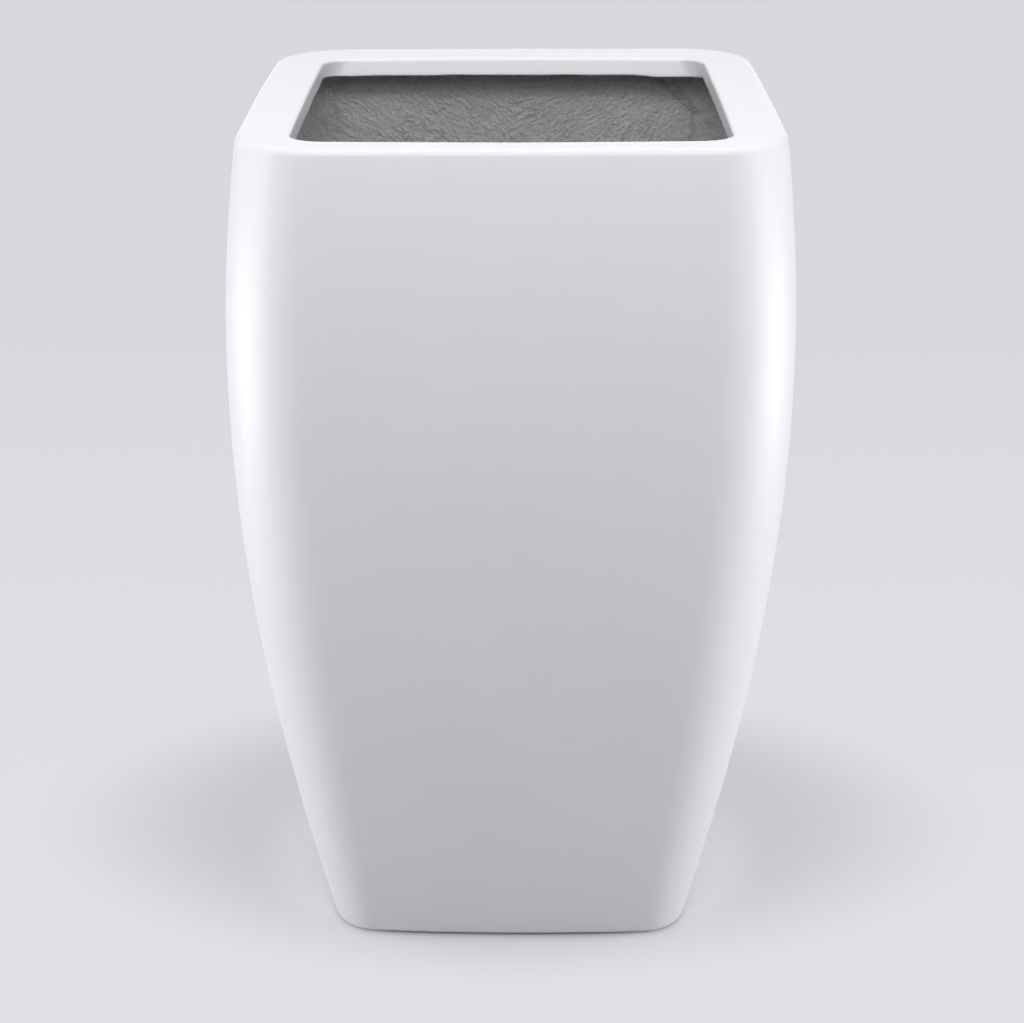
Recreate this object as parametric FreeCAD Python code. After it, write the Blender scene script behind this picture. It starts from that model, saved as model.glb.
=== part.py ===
import FreeCAD, Part
import math
import os

# Tall square planter in hand-laid glass-fibre laminate. All sizes are in millimetres.
# The origin is on the floor under the middle of the planter. +Z is up and the front faces -Y.

# The outside: a rounded square that swells to a belly and draws in to a smaller base
height = 800.0                 # floor to the top of the rim
top_width = 476.0              # across the rim, from face to face
belly_level = 570.0            # level of the widest section above the floor
belly_swell = 16.5             # how far each side stands out beyond the rim there
base_draw = 60.2               # how far each side draws in from the rim to the base
taper_straightness = 0.27      # 0 makes the lower side an even curve, more makes it run straight
top_corner_radius = 69.0       # plan corners at the rim
base_corner_radius = 45.0      # plan corners at the base
corner_swell = 22.0            # how much rounder than the mean of the two they are half way up
top_side_bow = 1.3             # how far the middle of a side bows out beyond its ends at the rim
base_side_bow = 4.4            # the same at the base
rim_edge_radius = 7.0          # rounding between the side and the top of the rim
base_edge_radius = 4.5         # rounding between the side and the underside

# The rim, folded in to the mouth and turned down in a short lip
rim_band = 46.5                # flat width from the outside face to the mouth
mouth_corner_radius = 20.0
mouth_edge_radius = 3.0        # rounding where the rim turns down into the lip
lip_depth = 17.0               # top of the rim to the free edge of the lip

# The two layers of the wall and the resin that bonds them
skin_wall = 2.5                # smooth white skin
laminate_wall = 3.5            # rough grey backing inside it
bond_line = 0.3                # resin film between them
laminate_setback = 2.0         # the backing behind the lip stops this far above the lip's edge

# The drain hole in the floor and its rubber plug
drain_diameter = 25.0
plug_side_clearance = 0.3      # between the plug's stem and the hole, all round
plug_seat_clearance = 0.3      # between the plug's flange and the floor
plug_stem_taper = 1.2          # how much the stem's radius shrinks towards its end
plug_stem_reach = 1.5          # how far the stem comes out under the planter
plug_flange_overlap = 6.5      # how far the flange covers the floor round the hole
plug_flange_thickness = 3.0
plug_grip_length = 20.0        # upright tab to pinch the plug by
plug_grip_thickness = 6.0
plug_grip_height = 15.0
plug_edge_radius = 1.0

# Four rubber pads stuck under the corners of the base
foot_diameter = 32.0
foot_height = 3.0
foot_inset = 48.0              # from the side faces at the base to the middle of a pad
foot_edge_radius = 0.8

# Fineness of the model
sections_below_belly = 9       # plan sections that the side surfaces run through
sections_above_belly = 4
level_tolerance = 0.01

base_level = foot_height
floor_level = base_level + skin_wall + bond_line + laminate_wall
laminate_outset = skin_wall + bond_line
mouth_half = top_width / 2 - rim_band


def half_width(level):
    """Half the outside width at the middle of a side, at a level above the floor."""
    belly = top_width / 2 + belly_swell
    if level >= belly_level:
        rise = (level - belly_level) / (height - belly_level)
        return belly - belly_swell * rise ** 2
    drop = (belly_level - level) / (belly_level - base_level)
    curve = (1 + taper_straightness) * drop ** 2 - taper_straightness * drop ** 3
    return belly - (belly_swell + base_draw) * curve


def between(base_value, top_value, level):
    """A size that changes evenly from the base to the rim."""
    share = (level - base_level) / (height - base_level)
    return base_value + (top_value - base_value) * share


def plan_wire(half, corner, side_radius, level):
    """Rounded square of four side arcs and four corner arcs, tangent to each other."""
    side_centre = side_radius - half
    reach = side_radius - corner
    root = math.sqrt(2 * reach ** 2 - side_centre ** 2)
    corner_centre = (root - side_centre) / 2
    meet = math.atan2(corner_centre, corner_centre + side_centre)
    edges = []
    for quarter in range(4):
        turn = FreeCAD.Rotation(FreeCAD.Vector(0, 0, 1), 90 * quarter)

        def side_point(angle):
            x = side_radius * math.cos(angle) - side_centre
            return turn.multVec(FreeCAD.Vector(x, side_radius * math.sin(angle), level))

        def corner_point(angle):
            x = corner_centre + corner * math.cos(angle)
            y = corner_centre + corner * math.sin(angle)
            return turn.multVec(FreeCAD.Vector(x, y, level))

        edges.append(Part.Arc(side_point(-meet), side_point(0), side_point(meet)).toShape())
        edges.append(Part.Arc(corner_point(meet), corner_point(math.pi / 4),
                              corner_point(math.pi / 2 - meet)).toShape())
    return Part.Wire(edges)


def bow_radius(half, corner, bow):
    """Radius of a side that bows out by a given amount between its corners."""
    flat = half - corner
    return (flat ** 2 + bow ** 2) / (2 * bow)


def corner_radius(level):
    """Radius of the plan corners on the outside at a level."""
    share = between(0, 1, level)
    swell = 4 * corner_swell * share * (1 - share)
    return between(base_corner_radius, top_corner_radius, level) + swell


def body_wire(level, inset):
    """The plan outline at a level, moved inward from the outside face by inset."""
    half = half_width(level)
    corner = corner_radius(level)
    side = bow_radius(half, corner, between(base_side_bow, top_side_bow, level))
    return plan_wire(half - inset, corner - inset, side - inset, level)


def edges_at(shape, level):
    """The edges of a shape that lie flat at one level."""
    def lies_flat(edge):
        box = edge.BoundBox
        return abs(box.ZMin - level) < level_tolerance and abs(box.ZMax - level) < level_tolerance
    return [edge for edge in shape.Edges if lies_flat(edge)]


def section_levels(low, high):
    """Levels of the plan sections, evenly spaced below and above the belly."""
    lower_step = (belly_level - low) / sections_below_belly
    upper_step = (high - belly_level) / sections_above_belly
    lower = [low + lower_step * number for number in range(sections_below_belly)]
    upper = [belly_level + upper_step * number for number in range(sections_above_belly + 1)]
    return lower + upper


def body_solid(low, high, inset):
    """The planter's form between two levels, with its rounded rim and base edges."""
    wires = [body_wire(level, inset) for level in section_levels(low, high)]
    body = Part.makeLoft(wires, True, False)
    for level, radius in ((high, rim_edge_radius - inset), (low, base_edge_radius - inset)):
        if radius > level_tolerance:
            body = body.makeFillet(radius, edges_at(body, level))
    return body


def mouth_wire(outset, level):
    """The outline of the mouth, moved outward by outset."""
    side = bow_radius(mouth_half, mouth_corner_radius, top_side_bow)
    return plan_wire(mouth_half + outset, mouth_corner_radius + outset, side + outset, level)


def mouth_prism(outset, low, high):
    """A straight plug of the mouth's outline between two levels."""
    face = Part.Face(mouth_wire(outset, low))
    return face.extrude(FreeCAD.Vector(0, 0, high - low))


def upright_cylinder(radius, low, high):
    return Part.makeCylinder(radius, high - low, FreeCAD.Vector(0, 0, low))


def drain_cut():
    """The drain hole, running past both faces of the floor."""
    return upright_cylinder(drain_diameter / 2, base_level - 1, floor_level + 1)


def layer(outer_inset, thickness, lip_outset, lip_end):
    """One hollow layer: side walls, floor, rim band and lip, with an open mouth."""
    low = base_level + outer_inset
    high = height - outer_inset
    block = body_solid(low, high, outer_inset)
    hollow = body_solid(low + thickness, high - thickness, outer_inset + thickness)
    lip = mouth_prism(lip_outset + thickness, lip_end, high - thickness / 2)
    walls = block.cut(hollow).fuse(lip)
    return walls.cut(mouth_prism(lip_outset, lip_end - 1, high + 1)).cut(drain_cut())


def make_outer_shell():
    """White skin: the whole outside, the rim band and the lip."""
    shell = layer(0, skin_wall, 0, height - lip_depth).removeSplitter()
    reach = mouth_half + level_tolerance
    mouth_edges = [edge for edge in edges_at(shell, height)
                   if max(abs(edge.CenterOfMass.x), abs(edge.CenterOfMass.y)) < reach]
    return shell.makeFillet(mouth_edge_radius, mouth_edges)


def make_inner_laminate():
    """Grey backing laid against the inside of the skin, up under the rim and behind the lip."""
    lip_end = height - lip_depth + laminate_setback
    return layer(laminate_outset, laminate_wall, laminate_outset, lip_end).removeSplitter()


def make_drain_plug():
    """Rubber plug: tapered stem in the hole, round flange on the floor, and a tab to pull."""
    stem_radius = drain_diameter / 2 - plug_side_clearance
    stem_end = base_level - plug_stem_reach
    flange_low = floor_level + plug_seat_clearance
    flange_high = flange_low + plug_flange_thickness
    stem = Part.makeCone(stem_radius - plug_stem_taper, stem_radius, flange_low - stem_end,
                         FreeCAD.Vector(0, 0, stem_end))
    flange = upright_cylinder(drain_diameter / 2 + plug_flange_overlap, flange_low, flange_high)
    flange = flange.makeFillet(plug_edge_radius, edges_at(flange, flange_high))
    grip_corner = FreeCAD.Vector(-plug_grip_length / 2, -plug_grip_thickness / 2, flange_low)
    grip = Part.makeBox(plug_grip_length, plug_grip_thickness,
                        plug_flange_thickness + plug_grip_height, grip_corner)
    uprights = [edge for edge in grip.Edges if edge.BoundBox.ZLength > plug_flange_thickness]
    grip = grip.makeFillet(plug_grip_thickness / 3, uprights)
    grip = grip.makeFillet(plug_edge_radius, edges_at(grip, grip.BoundBox.ZMax))
    return stem.fuse([flange, grip]).removeSplitter()


def make_foot(side_x, side_y):
    """Round pad under one corner; side_x and side_y are -1 or 1."""
    reach = half_width(base_level) - foot_inset
    pad = upright_cylinder(foot_diameter / 2, 0, foot_height)
    pad = pad.makeFillet(foot_edge_radius, edges_at(pad, 0))
    pad.translate(FreeCAD.Vector(side_x * reach, side_y * reach, 0))
    return pad


nodes = {
    "outer_shell": make_outer_shell(),
    "inner_laminate": make_inner_laminate(),
    "drain_plug": make_drain_plug(),
}
for end_name, side_y in (("front", -1), ("back", 1)):
    for side_name, side_x in (("left", -1), ("right", 1)):
        nodes["foot_" + end_name + "_" + side_name] = make_foot(side_x, side_y)

os.makedirs("parts", exist_ok=True)
for name, shape in nodes.items():
    shape.exportStep("parts/" + name + ".step")
    print(name, shape.ShapeType, len(shape.Solids), "valid", shape.isValid(),
          "volume", round(shape.Volume, 1))
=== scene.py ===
import math

import bmesh
import bpy
import numpy as np
from mathutils import Matrix, Vector, noise


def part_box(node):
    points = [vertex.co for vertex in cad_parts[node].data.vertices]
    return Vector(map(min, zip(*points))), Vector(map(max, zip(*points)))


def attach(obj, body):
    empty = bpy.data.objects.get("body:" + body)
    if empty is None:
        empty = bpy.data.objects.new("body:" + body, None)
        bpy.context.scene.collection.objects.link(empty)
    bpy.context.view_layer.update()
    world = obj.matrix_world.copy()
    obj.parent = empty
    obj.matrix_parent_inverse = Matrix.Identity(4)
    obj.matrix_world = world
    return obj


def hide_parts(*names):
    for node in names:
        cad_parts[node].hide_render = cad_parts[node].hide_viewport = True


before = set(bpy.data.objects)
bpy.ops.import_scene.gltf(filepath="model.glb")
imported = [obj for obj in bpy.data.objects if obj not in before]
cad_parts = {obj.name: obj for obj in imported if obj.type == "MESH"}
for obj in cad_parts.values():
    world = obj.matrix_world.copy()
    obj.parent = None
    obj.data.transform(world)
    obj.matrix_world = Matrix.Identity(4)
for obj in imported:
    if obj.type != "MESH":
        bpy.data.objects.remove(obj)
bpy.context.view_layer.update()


# ---------------------------------------------------------------------------------------
# The white skin: gel coat on glass-fibre mat, laid up by hand in a split mould. The sides,
# the floor, the folded rim and its lip are one moulding. The outside is as smooth as the
# mould, and the lip's free edge is trimmed by hand. All lengths are in metres.
# ---------------------------------------------------------------------------------------

skin_low, skin_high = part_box("outer_shell")
base_level = skin_low.z
rim_level = skin_high.z
belly_level = 0.570             # widest level above the floor
belly_half = 0.2545             # half the width there
rim_half = 0.238                # half the width at the rim
base_half = 0.1778              # and at the base
straightness = 0.27             # how straight the lower side runs
base_form = (0.045, 0.0044)     # plan corner radius and bow of a side at the base
rim_form = (0.069, 0.0013)      # the same at the rim
corner_swell = 0.022            # how much rounder than their mean the corners are half way up
mouth_half = 0.1915
mouth_corners = (0.028, 0.014)  # corner radius of the mouth at the rim, and of the lip's edge
mouth_bow = 0.001
skin_wall = 0.0025
lip_depth = 0.017
drain_radius = 0.0125
rim_round = 0.007               # rounding of the rim's outer edge
mouth_round = 0.003             # rounding where the rim turns down into the lip
base_round = 0.0045             # rounding under the base
rim_tilt = 0.0059               # the rim stands this much higher to the right, per metre
rim_fall = 0.0026               # the rim falls this much from its outer edge to the mouth
mouth_stretch = 0.0058          # the mouth bulges this much to the front and to the back
back_lip_draft = 0.0032         # the back of the lip leans in this much towards its edge
lip_waves = [(21, 3.1, 0.0009), (95, 8.4, 0.0004)]  # waves per metre, start and height
resin_spots = [(0.152, 0.0022, 0.017), (0.183, 0.0014, 0.016)]  # place in x, drop and reach
resin_spots_back = 0.194        # and their place in y
inside_round = 0.004            # rounding between the inner face of the side and the flats
mould_swells = (0.13, 0.041)    # length of the slow and the quick unevenness of the mould
mould_depth = 0.00035
gel_tones = [(0.835, 0.835, 0.875), (0.865, 0.863, 0.895)]
gel_roughness = (0.43, 0.51)
skin_steps = (32, 24)           # mesh steps along a side and round a corner


def side_reach(level):
    """Half the outside width at the middle of a side."""
    if level >= belly_level:
        rise = (level - belly_level) / (rim_level - belly_level)
        return belly_half - (belly_half - rim_half) * rise ** 2
    drop = (belly_level - level) / (belly_level - base_level)
    curve = (1 + straightness) * drop ** 2 - straightness * drop ** 3
    return belly_half - (belly_half - base_half) * curve


def side_lean(level):
    """Slope of the side at a level, positive where it leans outward on the way up."""
    step = 0.0005
    return math.atan((side_reach(level + step) - side_reach(level - step)) / (2 * step))


def body_plan(level):
    """Half width, corner radius and side bow of the outside at a level."""
    share = (level - base_level) / (rim_level - base_level)
    corner, bow = (low + (high - low) * share for low, high in zip(base_form, rim_form))
    return side_reach(level), corner + 4 * corner_swell * share * (1 - share), bow


def ring(plan, inset, level, steps):
    """Points of a rounded square whose sides and corners are all arcs, moved in by inset."""
    half, corner, bow = plan
    flat = half - corner
    side_radius = (flat ** 2 + bow ** 2) / (2 * bow)
    side_centre = side_radius - half
    reach = side_radius - corner
    corner_centre = (math.sqrt(2 * reach ** 2 - side_centre ** 2) - side_centre) / 2
    meet = math.atan2(corner_centre, corner_centre + side_centre)
    side_angles = np.linspace(-meet, meet, steps[0], endpoint=False)
    corner_angles = np.linspace(meet, math.pi / 2 - meet, steps[1], endpoint=False)
    side_radius, corner = side_radius - inset, corner - inset
    x = np.concatenate([side_radius * np.cos(side_angles) - side_centre,
                        corner_centre + corner * np.cos(corner_angles)])
    y = np.concatenate([side_radius * np.sin(side_angles),
                        corner_centre + corner * np.sin(corner_angles)])
    turns = [(x, y), (-y, x), (-x, -y), (y, -x)]
    xs, ys = (np.concatenate(values) for values in zip(*turns))
    return np.column_stack([xs, ys, np.full(len(xs), level)])


def round_hole(radius, like, level):
    """A circle with one point in the direction of each point of another ring."""
    flat = like[:, :2] / np.linalg.norm(like[:, :2], axis=1, keepdims=True) * radius
    return np.column_stack([flat, np.full(len(flat), level)])


def rings_between(start, end, count):
    """Even steps from one ring to another, without the two themselves."""
    return [start + (end - start) * number / (count + 1) for number in range(1, count + 1)]


def edge_rings(flat_level, radius, inset, upper, count, steps):
    """The rounding between a side, moved in by inset, and a flat top or underside."""
    turn = 1 if upper else -1
    middle = flat_level - turn * radius
    lean = side_lean(middle)
    plan = body_plan(middle)
    centre = plan[0] - inset / math.cos(lean) - radius / math.cos(lean)
    rings = []
    for angle in np.linspace(-lean, turn * math.pi / 2, count):
        half = centre + radius * math.cos(angle)
        rings.append(ring(plan, plan[0] - half, middle + radius * math.sin(angle), steps))
    return rings


def side_rings(low, high, inset, count, steps):
    """Rings up the side between two levels, with both ends."""
    return [ring(body_plan(level), inset / math.cos(side_lean(level)), level, steps)
            for level in np.linspace(low, high, count)]


def mouth_ring(outset, level, steps):
    """The outline of the mouth, moved out by outset, with tighter corners lower down."""
    share = min(max((rim_level - level) / lip_depth, 0), 1)
    corner = mouth_corners[0] + (mouth_corners[1] - mouth_corners[0]) * share
    points = ring((mouth_half, corner, mouth_bow), -outset, level - rim_fall, steps)
    bulge = 1 - np.clip(points[:, 0] / mouth_half, -1, 1) ** 2
    points[:, 1] *= 1 + mouth_stretch * bulge / mouth_half
    points[:, 1] -= back_lip_draft * share * np.clip(points[:, 1] / mouth_half, 0, 1) ** 2
    return points


def lip_wave(points):
    """How far the hand-trimmed edge of the lip dips or rises at each point of a ring."""
    wave = np.array([sum(noise.noise(Vector((x * pitch, y * pitch, start))) * height
                         for pitch, start, height in lip_waves)
                     for x, y, z in points])
    for x, drop, reach in resin_spots:
        gap = np.hypot(points[:, 0] - x, points[:, 1] - resin_spots_back)
        wave -= drop * np.exp(-(gap / reach) ** 2)
    return wave


def add_piece(name, shape):
    """An object with the faces of a bmesh, which is used up."""
    mesh = bpy.data.meshes.new(name)
    shape.to_mesh(mesh)
    shape.free()
    piece = bpy.data.objects.new(name, mesh)
    bpy.context.scene.collection.objects.link(piece)
    return piece


def add_closed_piece(name, shape):
    """An object that is smooth all over, with its faces turned outward."""
    bmesh.ops.recalc_face_normals(shape, faces=shape.faces)
    piece = add_piece(name, shape)
    piece.data.shade_smooth()
    return piece


def loft(name, rings, material):
    """A closed skin over rings of equally many points, the last joined to the first."""
    around = len(rings[0])
    points = np.concatenate(rings)
    points[:, 2] += rim_tilt * points[:, 0] * (points[:, 2] / rim_level) ** 2
    shape = bmesh.new()
    corners = [shape.verts.new(point) for point in points.tolist()]
    for number in range(len(rings)):
        here = number * around
        there = (number + 1) % len(rings) * around
        for place in range(around):
            beside = (place + 1) % around
            face = (here + place, here + beside, there + beside, there + place)
            shape.faces.new([corners[corner] for corner in face])
    piece = add_closed_piece(name, shape)
    piece.data.materials.append(material)
    return piece


def new_material(name):
    """A material with an empty node tree but for its shader and output."""
    material = bpy.data.materials.new(name)
    material.use_nodes = True
    return material, material.node_tree, material.node_tree.nodes["Principled BSDF"]


def feed(tree, value, socket):
    """Gives a socket a link, a plain value, or a plain colour without its alpha."""
    if isinstance(value, bpy.types.NodeSocket):
        tree.links.new(value, socket)
    elif socket.type == "RGBA":
        socket.default_value = (*value, 1)
    else:
        socket.default_value = value


def add_node(tree, kind, **values):
    """A node whose sockets, named with _ for spaces, get plain values or links."""
    made = tree.nodes.new(kind)
    for name, value in values.items():
        if hasattr(made, name):
            setattr(made, name, value)
        else:
            feed(tree, value, made.inputs[name.replace("_", " ")])
    return made


def combine(tree, operation, first, second):
    """One value worked out from two, each a plain number or a link."""
    made = add_node(tree, "ShaderNodeMath", operation=operation)
    for value, socket in zip((first, second), made.inputs):
        feed(tree, value, socket)
    return made.outputs[0]


def effect_group(name, given, results):
    """A node group with named numbers in and out, and the sockets of those inside it."""
    tree = bpy.data.node_groups.new(name, "ShaderNodeTree")
    for socket_name, default in given.items():
        socket = tree.interface.new_socket(socket_name, in_out="INPUT",
                                           socket_type="NodeSocketFloat")
        socket.default_value = default
    for socket_name in results:
        tree.interface.new_socket(socket_name, in_out="OUTPUT", socket_type="NodeSocketFloat")
    start = tree.nodes.new("NodeGroupInput")
    end = tree.nodes.new("NodeGroupOutput")
    return tree, start.outputs, end.inputs


def moulded_surface_group():
    """Slow mottle of a poured or moulded surface and the fine grain that lies on it."""
    defaults = {"Patch Size": 0.1, "Grain Size": 0.003, "Grain Share": 0.5}
    tree, given, result = effect_group("moulded surface", defaults, ("Mottle", "Height"))
    place = add_node(tree, "ShaderNodeTexCoord").outputs["Object"]

    def cloud(size, detail):
        scale = combine(tree, "DIVIDE", 1, size)
        return add_node(tree, "ShaderNodeTexNoise", Vector=place, Scale=scale, Detail=detail,
                        Roughness=0.55).outputs["Fac"]

    patches = cloud(given["Patch Size"], 4.0)
    grain = cloud(given["Grain Size"], 2.0)
    both = add_node(tree, "ShaderNodeMix", Factor=given["Grain Share"], A=patches, B=grain)
    feed(tree, patches, result["Mottle"])
    feed(tree, both.outputs["Result"], result["Height"])
    return tree


moulded_surface = moulded_surface_group()


def place_group(tree, group, **values):
    """A node group in a material, with its own values."""
    made = tree.nodes.new("ShaderNodeGroup")
    made.node_tree = group
    for name, value in values.items():
        made.inputs[name.replace("_", " ")].default_value = value
    return made


def blend_colours(tree, mask, first, second):
    """A colour that runs from first to second with a mask."""
    made = add_node(tree, "ShaderNodeMix", data_type="RGBA", Factor=mask)
    ends = [socket for socket in made.inputs if socket.type == "RGBA"]
    for value, socket in zip((first, second), ends):
        feed(tree, value, socket)
    return [socket for socket in made.outputs if socket.type == "RGBA"][0]


def spread(tree, mask, low, high, to_low=0.0, to_high=1.0, run="LINEAR"):
    """A mask stretched from one range of values to another, evenly or with soft ends."""
    return add_node(tree, "ShaderNodeMapRange", interpolation_type=run, Value=mask,
                    From_Min=low, From_Max=high, To_Min=to_low, To_Max=to_high).outputs["Result"]


def raise_surface(tree, shader, height, distance, strength=1.0):
    """Fine relief on a shader from a height."""
    bump = add_node(tree, "ShaderNodeBump", Height=height, Distance=distance,
                    Strength=strength)
    feed(tree, bump.outputs["Normal"], shader.inputs["Normal"])


def gel_coat():
    """White polyester gel coat: a satin polish with slow patches and a faint orange peel."""
    material, tree, shader = new_material("white gel coat")
    surface = place_group(tree, moulded_surface, Patch_Size=0.17, Grain_Size=0.0045,
                          Grain_Share=0.35)
    patches = spread(tree, surface.outputs["Mottle"], 0.3, 0.7)
    polish = spread(tree, surface.outputs["Mottle"], 0.3, 0.7, *gel_roughness)
    feed(tree, blend_colours(tree, patches, *gel_tones), shader.inputs["Base Color"])
    feed(tree, polish, shader.inputs["Roughness"])
    shader.inputs["Coat Weight"].default_value = 0.12
    shader.inputs["Coat Roughness"].default_value = 0.32
    raise_surface(tree, shader, surface.outputs["Height"], 0.0005, 0.35)
    return material


def skin_rings():
    """The skin's section as rings: underside, side, rim, lip and back up the inside."""
    steps = skin_steps
    floor_face = base_level + skin_wall
    under_rim = rim_level - skin_wall
    lip_end = rim_level - lip_depth
    base_edge = edge_rings(base_level, base_round, 0, False, 8, steps)[::-1]
    rim_edge = edge_rings(rim_level, rim_round, 0, True, 10, steps)
    hole_low = round_hole(drain_radius, base_edge[0], base_level)
    hole_high = round_hole(drain_radius, base_edge[0], floor_face)
    side = side_rings(base_edge[-1][0, 2], rim_edge[0][0, 2], 0, 72, steps)[1:-1]
    mouth_edge = []
    for angle in np.linspace(0, math.pi / 2, 9):
        outset = mouth_round * (1 - math.sin(angle))
        drop = mouth_round * (1 - math.cos(angle))
        mouth_edge.append(mouth_ring(outset, rim_level - drop, steps))
    face_levels = np.linspace(rim_level - mouth_round, lip_end + 0.0008, 8)[1:]
    trimmed_edge = [(0.0003, 0.0002), (0.0009, 0), (skin_wall - 0.0004, 0), (skin_wall, 0.0004)]
    lip_face = [mouth_ring(0, level, steps) for level in face_levels]
    lip_face += [mouth_ring(outset, lip_end + rise, steps) for outset, rise in trimmed_edge]
    for points in lip_face:
        depth = rim_level - rim_fall - mouth_round - points[:, 2]
        share = np.clip(depth / (lip_depth - mouth_round), 0, 1)
        points[:, 2] += lip_wave(points) * share
    behind = mouth_ring(skin_wall, under_rim, steps)
    inside_top = ring(body_plan(under_rim), skin_wall + inside_round, under_rim, steps)
    inside = side_rings(floor_face + inside_round, under_rim - inside_round, skin_wall, 24,
                        steps)[::-1]
    floor_edge = ring(body_plan(floor_face), skin_wall + inside_round, floor_face, steps)
    return [hole_low, *rings_between(hole_low, base_edge[0], 5), *base_edge, *side, *rim_edge,
            *rings_between(rim_edge[-1], mouth_edge[0], 9), *mouth_edge, *lip_face, behind,
            *rings_between(behind, inside_top, 3), inside_top, *inside, floor_edge,
            *rings_between(floor_edge, hole_high, 5), hole_high]


def vertex_table(mesh, kind):
    """The co or the normal of every vertex, as an array with a row for each."""
    return np.array([getattr(vertex, kind)[:] for vertex in mesh.vertices])


def raise_points(mesh, heights):
    """Moves each vertex along its own normal by its height."""
    moved = vertex_table(mesh, "co") + vertex_table(mesh, "normal") * heights[:, None]
    mesh.vertices.foreach_set("co", moved.astype(np.float32).ravel())
    mesh.update()


def ripple(mesh):
    """Slow unevenness of a mould that was built by hand."""
    slow, quick = (np.array([noise.noise(Vector(point) / length)
                             for point in vertex_table(mesh, "co")])
                   for length in mould_swells)
    raise_points(mesh, mould_depth * (slow + 0.25 * quick))


skin = loft("white_skin", skin_rings(), gel_coat())
ripple(skin.data)
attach(skin, "planter")
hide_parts("outer_shell")


# ---------------------------------------------------------------------------------------
# The grey laminate: chopped-strand mat wetted out with filled resin, stippled and rolled
# down by hand against the back of the skin. It keeps the strokes of the brush, lumps of
# strand and creases in the mat. Its colour holds painted shade under the rim and in the
# creases, and painted light that turns it paler toward the corners.
# ---------------------------------------------------------------------------------------

laminate_outset = 0.0028        # from the white face to the back of the laminate
laminate_wall = 0.0035
inner_inset = laminate_outset + laminate_wall
floor_top = base_level + inner_inset
lip_setback = 0.002
lip_gap = 0.0003                # between the lip and the laminate behind it
rim_inner_round = 0.005         # rounding between the inner side and the underside of the rim
floor_inner_round = 0.006       # the same at the floor
rim_back_round = 0.0042         # the same on the hidden back of the laminate, at the rim
floor_back_round = 0.002        # and at the floor
laminate_steps = (110, 38)
stroke_zone = 0.150             # depth below the rim that gets the finest mesh
smooth_middle = (0.022, 0.042)  # the relief starts between these distances from the drain

stroke_wander = (14, 0.035)     # wanders of the strokes per metre, and how far they go
stroke_change = (1.3, 0.7)      # how fast the strokes change along x and y
swell_height = 0.0008           # relief of the slow swells, the brush strokes and the lumps
stroke_height = 0.00055
lump_height = 0.0005

resin_tones = [(0.64, 0.64, 0.655), (0.84, 0.84, 0.85)]
strand_tone = (0.88, 0.88, 0.885)
fleck_tone = (0.94, 0.94, 0.94)
# Painted light that turns the laminate paler toward the corners of its walls
painted_corner_light_tone = (0.90, 0.90, 0.905)
painted_corner_light_reach = (0.14, 0.22)        # from the middle of a wall to where the painted corner light is full
painted_rim_shade_tone = (0.34, 0.34, 0.35)
painted_rim_shade_levels = (0.730, 0.762)  # painted shade that darkens the laminate towards the underside of the rim, over these levels
# Painted shade that darkens the laminate along the creases, over these crease heights
painted_crease_shade_tone = (0.24, 0.24, 0.25)
painted_crease_shade_heights = (0.0012, 0.0028)

# Creases in the mat on the back wall, as (x, level) points, half width and height
back_creases = [
    ([(0.146, 0.772), (0.160, 0.757), (0.174, 0.748), (0.188, 0.738)], 0.0027, 0.0030),
    ([(0.163, 0.772), (0.172, 0.756), (0.183, 0.742), (0.187, 0.722), (0.184, 0.700),
      (0.188, 0.672)], 0.0026, 0.0026),
    ([(-0.186, 0.757), (-0.184, 0.748), (-0.185, 0.739), (-0.182, 0.726)], 0.0028, 0.0018),
    ([(-0.200, 0.729), (-0.196, 0.722), (-0.191, 0.717)], 0.0025, 0.0016),
    ([(0.205, 0.748), (0.200, 0.731), (0.207, 0.712)], 0.0026, 0.0015),
]
crease_zone = 0.6               # the back wall above this level holds them all


def crease_relief(x, level, line, half_width, height):
    """Height of a crease along a line of points: steep on one side, soft on the other."""
    nearest = np.full(len(x), np.inf)
    for (x0, z0), (x1, z1) in zip(line, line[1:]):
        run_x, run_z = x1 - x0, z1 - z0
        share = ((x - x0) * run_x + (level - z0) * run_z) / (run_x ** 2 + run_z ** 2)
        share = np.clip(share, 0, 1)
        gap_x, gap_z = x - x0 - share * run_x, level - z0 - share * run_z
        gap = np.hypot(gap_x, gap_z) * np.where(gap_x * run_z - gap_z * run_x > 0, 1, 0.45)
        nearest = np.minimum(nearest, gap)
    return height * np.exp(-(nearest / half_width) ** 2)


def back_crease_heights(points):
    """Height of the creases on the back wall at each point."""
    x, y, level = points.T
    heights = np.zeros(len(points))
    for line, half_width, height in back_creases:
        rough = 1 + 0.4 * np.sin(level * 310) * np.sin(x * 270)
        heights += rough * crease_relief(x, level, line, half_width, height)
    return heights * ((y >= np.abs(x)) & (level > crease_zone))


def stroke_places(points):
    """For each point its distance across the wall, with some wander, and the slow change."""
    pitch, reach = stroke_wander
    wander = np.array([noise.noise(Vector((x * pitch, y * pitch, z * pitch)))
                       for x, y, z in points])
    across = np.abs(points[:, :2]).min(axis=1) + wander * reach
    return across, stroke_change[0] * points[:, 0] + stroke_change[1] * points[:, 1]


def laid_relief(points):
    """Height of the hand-laid surface, without its creases, over its mean at each point."""
    heights = []
    for (x, y, z), across, change in zip(points, *stroke_places(points)):
        strokes = noise.noise(Vector(((across + z) * 42, (across - z) * 150, change * 9)))
        lumps = noise.noise(Vector((x * 110, y * 110, z * 110)))
        swell = noise.noise(Vector((x * 17, y * 17, z * 17 + 5)))
        heights.append(swell_height * swell + stroke_height * strokes + lump_height * lumps)
    return np.array(heights)


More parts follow.
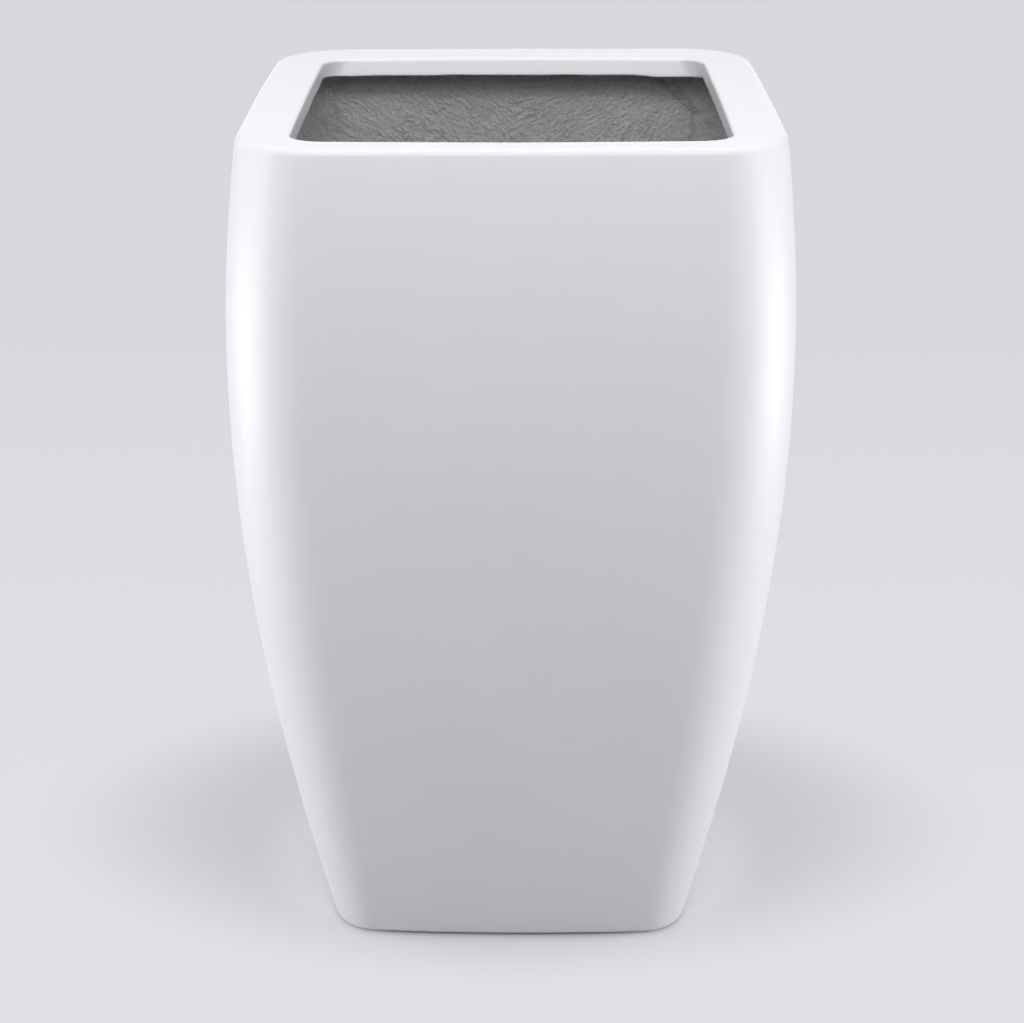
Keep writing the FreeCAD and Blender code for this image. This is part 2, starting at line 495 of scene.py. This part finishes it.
def laminate_rings():
    """The laminate's section as rings, and for each ring how much of the relief it takes."""
    steps = laminate_steps
    lip_end = rim_level - lip_depth + lip_setback
    top = rim_level - inner_inset
    back_top = rim_level - laminate_outset
    back_floor = base_level + laminate_outset
    fine_end = rim_level - stroke_zone
    top_edge = edge_rings(top, rim_inner_round, inner_inset, True, 6, steps)
    floor_edge = edge_rings(floor_top, floor_inner_round, inner_inset, False, 6, steps)[::-1]
    upper = side_rings(fine_end, top_edge[0][0, 2], inner_inset, 50, steps)[1:-1]
    lower = side_rings(floor_edge[-1][0, 2], fine_end, inner_inset, 54, steps)[1:]
    hole_top = round_hole(drain_radius, floor_edge[0], floor_top)
    hole_low = round_hole(drain_radius, floor_edge[0], back_floor)
    lip_face = [mouth_ring(inner_inset, level, steps) for level in np.linspace(top, lip_end, 4)]
    lip_back = [mouth_ring(laminate_outset + lip_gap, level, steps)
                for level in (lip_end, back_top)]
    back_high = edge_rings(back_top, rim_back_round, laminate_outset, True, 3, steps)[::-1]
    back_low = edge_rings(back_floor, floor_back_round, laminate_outset, False, 3, steps)
    back = side_rings(back_low[0][0, 2], back_high[-1][0, 2], laminate_outset, 14, steps)[::-1]
    flat_floor = rings_between(hole_top, floor_edge[0], 18)
    parts = [
        (0, [hole_top]), (1, flat_floor), (1, floor_edge), (1, lower), (1, upper),
        (1, top_edge), (1, rings_between(top_edge[-1], lip_face[0], 4)), (0.4, lip_face),
        (0, lip_back), (0, rings_between(lip_back[-1], back_high[0], 1)), (0, back_high),
        (0, back[1:-1]), (0, back_low), (0, rings_between(back_low[-1], hole_low, 2)),
        (0, [hole_low])]
    rings = [points for share, group in parts for points in group]
    shares = [share for share, group in parts for points in group]
    return rings, shares


def lay_up(mesh, shares):
    """Presses the relief into the inner face, and keeps the places that the strokes follow."""
    around = len(mesh.vertices) // len(shares)
    points = vertex_table(mesh, "co")
    start, full = smooth_middle
    rough = np.clip((np.hypot(points[:, 0], points[:, 1]) - start) / (full - start), 0, 1)
    creases = back_crease_heights(points)
    across, change = stroke_places(points)
    raise_points(mesh, (laid_relief(points) + creases) * np.repeat(shares, around) * rough)
    folded = mesh.attributes.new("crease", "FLOAT", "POINT")
    folded.data.foreach_set("value", creases.astype(np.float32))
    layout = np.column_stack([across, points[:, 2], change * 0.08])
    direction = mesh.attributes.new("lay_direction", "FLOAT_VECTOR", "POINT")
    direction.data.foreach_set("vector", layout.astype(np.float32).ravel())


def brushed_strands_group():
    """Strokes and strands that run down and inward on each wall, from the places kept."""
    tree, given, result = effect_group("brushed strands", {"Strand Size": 0.003},
                                       ("Strands", "Lumps"))
    scale = combine(tree, "DIVIDE", 1, given["Strand Size"])
    kept = add_node(tree, "ShaderNodeAttribute", attribute_name="lay_direction")
    turned = add_node(tree, "ShaderNodeVectorRotate", rotation_type="Z_AXIS",
                      Vector=kept.outputs["Vector"], Angle=math.radians(-45))
    stretched = add_node(tree, "ShaderNodeMapping", Vector=turned.outputs["Vector"],
                         Scale=(0.36, 1.0, 1.0))
    strands = add_node(tree, "ShaderNodeTexNoise", Vector=stretched.outputs["Vector"],
                       Scale=scale, Detail=5.0, Roughness=0.6, Distortion=0.4)
    place = add_node(tree, "ShaderNodeTexCoord").outputs["Object"]
    lumps = add_node(tree, "ShaderNodeTexNoise", Vector=place, Scale=scale, Detail=5.0,
                     Roughness=0.62)
    feed(tree, strands.outputs["Fac"], result["Strands"])
    feed(tree, lumps.outputs["Fac"], result["Lumps"])
    return tree


brushed_strands = brushed_strands_group()


def laid_laminate():
    """Grey filled resin, with painted shade under the rim and in its creases, and painted light
    that turns it paler toward the corners.
    """
    material, tree, shader = new_material("grey hand-laid laminate")
    surface = place_group(tree, moulded_surface, Patch_Size=0.03, Grain_Size=0.0028,
                          Grain_Share=0.5)
    lay = place_group(tree, brushed_strands, Strand_Size=0.0041).outputs
    kept = add_node(tree, "ShaderNodeAttribute", attribute_name="lay_direction")
    wall = add_node(tree, "ShaderNodeSeparateXYZ", Vector=kept.outputs["Vector"]).outputs
    crease = add_node(tree, "ShaderNodeAttribute", attribute_name="crease").outputs["Fac"]
    mottle = spread(tree, surface.outputs["Mottle"], 0.35, 0.65)
    tone = blend_colours(tree, mottle, *resin_tones)
    for mask, added in (
            (spread(tree, lay["Strands"], 0.36, 0.66), strand_tone),
            (spread(tree, lay["Lumps"], 0.50, 0.68), fleck_tone),
            # painted light toward the corners
            (spread(tree, wall["X"], *painted_corner_light_reach, 0, 0.8), painted_corner_light_tone),
            # painted shade under the rim
            (spread(tree, wall["Y"], *painted_rim_shade_levels, 0, 0.42), painted_rim_shade_tone),
            # painted shade in the creases
            (spread(tree, crease, *painted_crease_shade_heights, 0, 0.35), painted_crease_shade_tone)):
        tone = blend_colours(tree, mask, tone, added)
    feed(tree, tone, shader.inputs["Base Color"])
    feed(tree, spread(tree, lay["Lumps"], 0.35, 0.65, 0.52, 0.78), shader.inputs["Roughness"])
    raise_surface(tree, shader, combine(tree, "ADD", lay["Strands"], lay["Lumps"]), 0.006)
    return material


lining_rings, lining_shares = laminate_rings()
lining = loft("grey_laminate", lining_rings, laid_laminate())
lay_up(lining.data, lining_shares)
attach(lining, "planter")
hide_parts("inner_laminate")


# ---------------------------------------------------------------------------------------
# The drain plug: black moulded rubber. A tapered stem sits in the drain hole, a dished
# flange lies on the floor, and a ribbed tab stands up to pinch it by. It is pushed in and
# pulled out by hand.
# ---------------------------------------------------------------------------------------

plug_low, plug_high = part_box("drain_plug")
plug_clearance = 0.0003         # round the stem and under the flange
flange_low = floor_top + plug_clearance
flange_high = flange_low + 0.003
flange_radius = plug_high.x
flange_edge = 0.001             # rounding of the flange's upper edge
flange_bevel = 0.0005           # bevel of its lower edge
stem_radius = drain_radius - plug_clearance
stem_tip_radius = stem_radius - 0.0012
stem_lead_in = 0.0008           # bevel at the stem's tip
tab_half_length = 0.010
tab_half_thickness = 0.003
tab_end_round = 0.002
tab_top_round = 0.001
tab_root = 0.001                # how far the tab runs down into the flange
tab_ribs = 4
rib_height = 0.00045

# The groove and the dish in the flange's top, as (radius, depth) points
flange_top = [(0.0160, 0), (0.0154, 0.0006), (0.0146, 0.0006), (0.0140, 0), (0.0118, 0.0002),
              (0.0, 0.0004)]


def turn_profile(name, profile, steps):
    """A closed round body from (radius, level) points, first and last on the axis."""
    shape = bmesh.new()
    rings = []
    for radius, level in profile:
        if radius == 0:
            rings.append([shape.verts.new((0, 0, level))])
            continue
        angles = (2 * math.pi * number / steps for number in range(steps))
        rings.append([shape.verts.new((radius * math.cos(a), radius * math.sin(a), level))
                      for a in angles])
    for low, high in zip(rings, rings[1:]):
        for number in range(steps):
            corners = [low[number % len(low)], low[(number + 1) % len(low)],
                       high[(number + 1) % len(high)], high[number % len(high)]]
            shape.faces.new(list(dict.fromkeys(corners)))
    piece = add_closed_piece(name, shape)
    piece.data.set_sharp_from_angle(angle=math.radians(38))
    return piece


def rubber(name, dark, light, grain):
    """Matt moulded rubber with a bloom of dust in its grain."""
    material, tree, shader = new_material(name)
    surface = place_group(tree, moulded_surface, Patch_Size=0.012, Grain_Size=grain,
                          Grain_Share=0.6)
    mottle = spread(tree, surface.outputs["Mottle"], 0.35, 0.7)
    grip = spread(tree, surface.outputs["Height"], 0.3, 0.7, 0.55, 0.8)
    feed(tree, blend_colours(tree, mottle, dark, light), shader.inputs["Base Color"])
    feed(tree, grip, shader.inputs["Roughness"])
    raise_surface(tree, shader, surface.outputs["Height"], 0.0004, 0.5)
    return material


def plug_body():
    """Stem with a lead-in, and a flange with a rounded edge, a groove and a dished top."""
    tip = plug_low.z
    profile = [(0, tip), (stem_tip_radius - stem_lead_in, tip),
               (stem_tip_radius, tip + stem_lead_in), (stem_radius, flange_low),
               (flange_radius - flange_bevel, flange_low),
               (flange_radius, flange_low + flange_bevel)]
    for angle in np.linspace(0, math.pi / 2, 6):
        profile.append((flange_radius - flange_edge * (1 - math.cos(angle)),
                        flange_high - flange_edge * (1 - math.sin(angle))))
    profile += [(radius, flange_high - depth) for radius, depth in flange_top]
    return turn_profile("drain_plug_body", profile, 72)


def tab_outline(level, inset):
    """A flat oblong with rounded ends, drawn in by inset across its faces."""
    points = []
    for turn in range(4):
        middle_x = (tab_half_length - tab_end_round) * (1 if turn in (0, 3) else -1)
        middle_y = (tab_half_thickness - tab_end_round) * (1 if turn in (0, 1) else -1)
        for angle in np.linspace(0, math.pi / 2, 6) + turn * math.pi / 2:
            points.append((middle_x + (tab_end_round - inset * 0.3) * math.cos(angle),
                           middle_y + (tab_end_round - inset) * math.sin(angle), level))
    return points


def plug_tab():
    """Upright tab with rounded ends, a rounded top and ribs across both faces."""
    low, high = flange_high - tab_root, plug_high.z
    shoulder = high - tab_top_round
    crown = shoulder + tab_top_round * np.sin(np.linspace(0.3, math.pi / 2, 6))
    shape = bmesh.new()
    rings = []
    for level in [*np.linspace(low, shoulder, 41), *crown]:
        wave = math.cos(2 * math.pi * tab_ribs * (level - low) / (high - low))
        inset = rib_height * (1 + wave) / 2
        if level > shoulder:
            rise = (level - shoulder) / tab_top_round
            inset += tab_top_round * (1 - math.sqrt(max(0, 1 - rise ** 2)))
        rings.append([shape.verts.new(point) for point in tab_outline(level, inset)])
    for lower, upper in zip(rings, rings[1:]):
        for number in range(len(lower)):
            beside = (number + 1) % len(lower)
            shape.faces.new((lower[number], lower[beside], upper[beside], upper[number]))
    shape.faces.new(rings[0])
    shape.faces.new(rings[-1])
    piece = add_closed_piece("drain_plug_tab", shape)
    piece.data.set_sharp_from_angle(angle=math.radians(50))
    return piece


plug_rubber = rubber("black plug rubber", (0.022, 0.022, 0.023), (0.045, 0.045, 0.047), 0.0006)
plug = plug_body()
tab = plug_tab()
for piece in (plug, tab):
    piece.data.materials.append(plug_rubber)
    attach(piece, "plug")
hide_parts("drain_plug")


# ---------------------------------------------------------------------------------------
# The feet: four round self-adhesive pads of dark grey rubber, stuck under the corners of
# the base so that it stands clear of the floor and drains.
# ---------------------------------------------------------------------------------------

foot_names = sorted(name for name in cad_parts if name.startswith("foot_"))
sole_rings = (0.25, 0.5, 0.75)  # moulded rings in a pad's sole, as shares of its radius
ring_depth = 0.0004
ring_root = 0.0012              # half the width of a ring where it leaves the sole
ring_face = 0.0007              # and where it meets the floor
pad_edge = 0.0008               # rounding of the lower edge
glue_film = (0.0003, 0.0004)    # how far the film on top stands back, and its thickness
foot_rubber = rubber("grey foot rubber", (0.030, 0.030, 0.032), (0.065, 0.064, 0.062), 0.0008)


def foot_pad(name, low, high):
    """A pad with a rounded lower edge, moulded rings in its sole and a film of glue on top."""
    radius = (high.x - low.x) / 2
    sole = low.z + ring_depth
    profile = [(0, sole)]
    for share in sole_rings:
        middle = radius * share
        profile += [(middle - ring_root, sole), (middle - ring_face, low.z),
                    (middle + ring_face, low.z), (middle + ring_root, sole)]
    profile += [(radius - pad_edge - 0.0012, sole), (radius - pad_edge - 0.0008, low.z)]
    for angle in np.linspace(0, math.pi / 2, 6):
        profile.append((radius - pad_edge * (1 - math.sin(angle)),
                        low.z + pad_edge * (1 - math.cos(angle))))
    setback, film = glue_film
    profile += [(radius, high.z - film), (radius - setback, high.z), (0, high.z)]
    piece = turn_profile(name, profile, 64)
    piece.data.transform(Matrix.Translation(((low.x + high.x) / 2, (low.y + high.y) / 2, 0)))
    return piece


for name in foot_names:
    pad = foot_pad(name + "_pad", *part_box(name))
    pad.data.materials.append(foot_rubber)
    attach(pad, "planter")
    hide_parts(name)


# ---------------------------------------------------------------------------------------
# The studio: a pale matt floor that runs out of sight, soft boxes round the planter, and
# the camera above the level of the rim, looking down at it.
# ---------------------------------------------------------------------------------------

floor_radius = 14.0
far_tones = [(0.69, 0.685, 0.72), (0.71, 0.705, 0.74)]      # the floor away from the camera
near_tones = [(0.765, 0.76, 0.80), (0.785, 0.78, 0.82)]     # and on its near side, painted paler as the light that falls on the near floor
shade_tone = (0.585, 0.58, 0.61)      # painted shadow that the camera sees on the floor close to the planter
unseen_tone = (0.34, 0.34, 0.345)     # the floor's tone for the light that it throws back
lamp_lit = (0.19, 0.28)               # distance over which the lamps' own shading gives way
shade_reach = (0.215, 0.43)           # distance over which the shade tone fades out
shade_place = (0, -0.08, 0)
shade_stretch = (0.8, 1.25, 1)

camera_place = Vector((0.00898, -2.04635, 1.20107))
camera_down = math.radians(21.825)
camera_turn = 0.00403
camera_roll = 0.00256
lens_length = 77.56


def seen_mask(tree):
    """1 where the camera sees a surface itself, in a reflection or through something clear."""
    path = tree.nodes.new("ShaderNodeLightPath").outputs
    through = combine(tree, "MAXIMUM", path["Is Glossy Ray"], path["Is Transmission Ray"])
    return combine(tree, "MAXIMUM", path["Is Camera Ray"], through)


def mix_shaders(tree, share, first, second, output):
    """Puts a mix of two shaders on the output of a material or a world."""
    mixed = tree.nodes.new("ShaderNodeMixShader")
    for value, socket in zip((share, first, second), mixed.inputs):
        feed(tree, value, socket)
    feed(tree, mixed.outputs[0], tree.nodes[output].inputs["Surface"])


def studio_floor():
    """A round floor: lit by the lamps close to the planter, and drawn in plain tones beyond.

    The drawn tones are there for the camera and for reflections. They hold a painted soft
    shadow near the planter, and the tone of the world behind at the horizon.
    """
    shape = bmesh.new()
    bmesh.ops.create_circle(shape, cap_ends=True, segments=128, radius=floor_radius)
    floor = add_piece("studio_floor", shape)
    material, tree, shader = new_material("studio floor")
    surface = place_group(tree, moulded_surface, Patch_Size=0.6, Grain_Size=0.004,
                          Grain_Share=0.5)
    place = add_node(tree, "ShaderNodeTexCoord").outputs["Object"]
    depth = add_node(tree, "ShaderNodeSeparateXYZ", Vector=place).outputs["Y"]

    def distance(position):
        made = add_node(tree, "ShaderNodeVectorMath", operation="LENGTH")
        feed(tree, position, made.inputs[0])
        return made.outputs["Value"]

    from_middle = distance(place)
    from_shade = distance(add_node(tree, "ShaderNodeMapping", Vector=place,
                                   Location=shade_place, Scale=shade_stretch).outputs[0])
    # painted light: the floor runs paler towards its near side
    to_back = combine(tree, "MAXIMUM", spread(tree, depth, -0.5, 1.8),
                      spread(tree, from_middle, 2.0, 6.0))
    tone, paler = (blend_colours(tree, to_back, near, far)
                   for near, far in zip(near_tones, far_tones))
    pale = blend_colours(tree, spread(tree, surface.outputs["Mottle"], 0.3, 0.7), tone, paler)
    # the painted shadow round the planter, fading out into the plain tone
    clear = spread(tree, from_shade, *shade_reach, run="SMOOTHSTEP")
    drawn = add_node(tree, "ShaderNodeEmission",
                     Color=blend_colours(tree, clear, shade_tone, tone))
    seen = seen_mask(tree)
    feed(tree, blend_colours(tree, seen, unseen_tone, pale), shader.inputs["Base Color"])
    shader.inputs["Roughness"].default_value = 0.75
    far = spread(tree, from_middle, *lamp_lit, run="SMOOTHSTEP")
    mix_shaders(tree, combine(tree, "MULTIPLY", seen, far), shader.outputs[0],
                drawn.outputs[0], "Material Output")
    floor.data.materials.append(material)
    return floor


def pale_world(seen_tone, light_tone, strength):
    """Even light from all round, and the floor's far tone behind it for the camera."""
    world = bpy.data.worlds.new("pale room")
    world.use_nodes = True
    tree = world.node_tree
    lit = tree.nodes["Background"]
    feed(tree, light_tone, lit.inputs["Color"])
    feed(tree, strength, lit.inputs["Strength"])
    shown = add_node(tree, "ShaderNodeBackground", Color=seen_tone)
    mix_shaders(tree, seen_mask(tree), lit.outputs[0], shown.outputs[0], "World Output")
    bpy.context.scene.world = world


def soft_box(name, place, aim, size, watts):
    """A rectangular soft light that faces a point."""
    light = bpy.data.lights.new(name, "AREA")
    light.shape = "RECTANGLE"
    light.size, light.size_y = size
    light.energy = watts
    lamp = bpy.data.objects.new(name, light)
    lamp.location = place
    lamp.rotation_euler = (Vector(aim) - Vector(place)).to_track_quat("-Z", "Y").to_euler()
    bpy.context.scene.collection.objects.link(lamp)


def studio_camera():
    """The photograph's viewpoint: no shift, and no blur from depth."""
    lens = bpy.data.cameras.new("studio camera")
    lens.sensor_width = 36.0
    lens.sensor_fit = "HORIZONTAL"
    lens.lens = lens_length
    lens.clip_end = 60
    camera = bpy.data.objects.new("studio camera", lens)
    aim = (Matrix.Rotation(camera_turn, 4, "Z")
           @ Matrix.Rotation(math.pi / 2 - camera_down, 4, "X")
           @ Matrix.Rotation(camera_roll, 4, "Z"))
    camera.matrix_world = Matrix.Translation(camera_place) @ aim
    bpy.context.scene.collection.objects.link(camera)
    bpy.context.scene.camera = camera


studio_floor()
pale_world(far_tones[0], (1.0, 1.0, 1.0), 0.02)
for side in (-1, 1):
    soft_box("low side box", (side * 1.5, -0.15, 0.25), (0, 0, 0.2), size=(0.8, 0.45), watts=7.9)
    soft_box("front side box", (side * 1.4, -0.6, 0.7), (0, 0, 0.55), size=(0.4, 1.5), watts=4.7)
    soft_box("high side box", (side * 1.3, -0.3, 2.1), (0, 0, 0.75), size=(0.7, 0.6), watts=6.8)
soft_box("top box", (0, 0.1, 2.6), (0, 0, 0.6), size=(1.8, 1.8), watts=17)
soft_box("front box", (0, -2.2, 2.3), (0, 0, 0.75), size=(1.8, 0.5), watts=25)
soft_box("near front box", (0, -2.3, 1.75), (0, 0, 0.75), size=(1.8, 0.4), watts=9.0)
soft_box("back box", (0, 2.0, 1.5), (0, 0, 0.3), size=(2.0, 0.7), watts=3.2)
soft_box("low back box", (0, 1.9, 0.6), (0, 0, 0.45), size=(1.6, 0.6), watts=8.0)
studio_camera()
bpy.context.scene.view_settings.view_transform = "Standard"
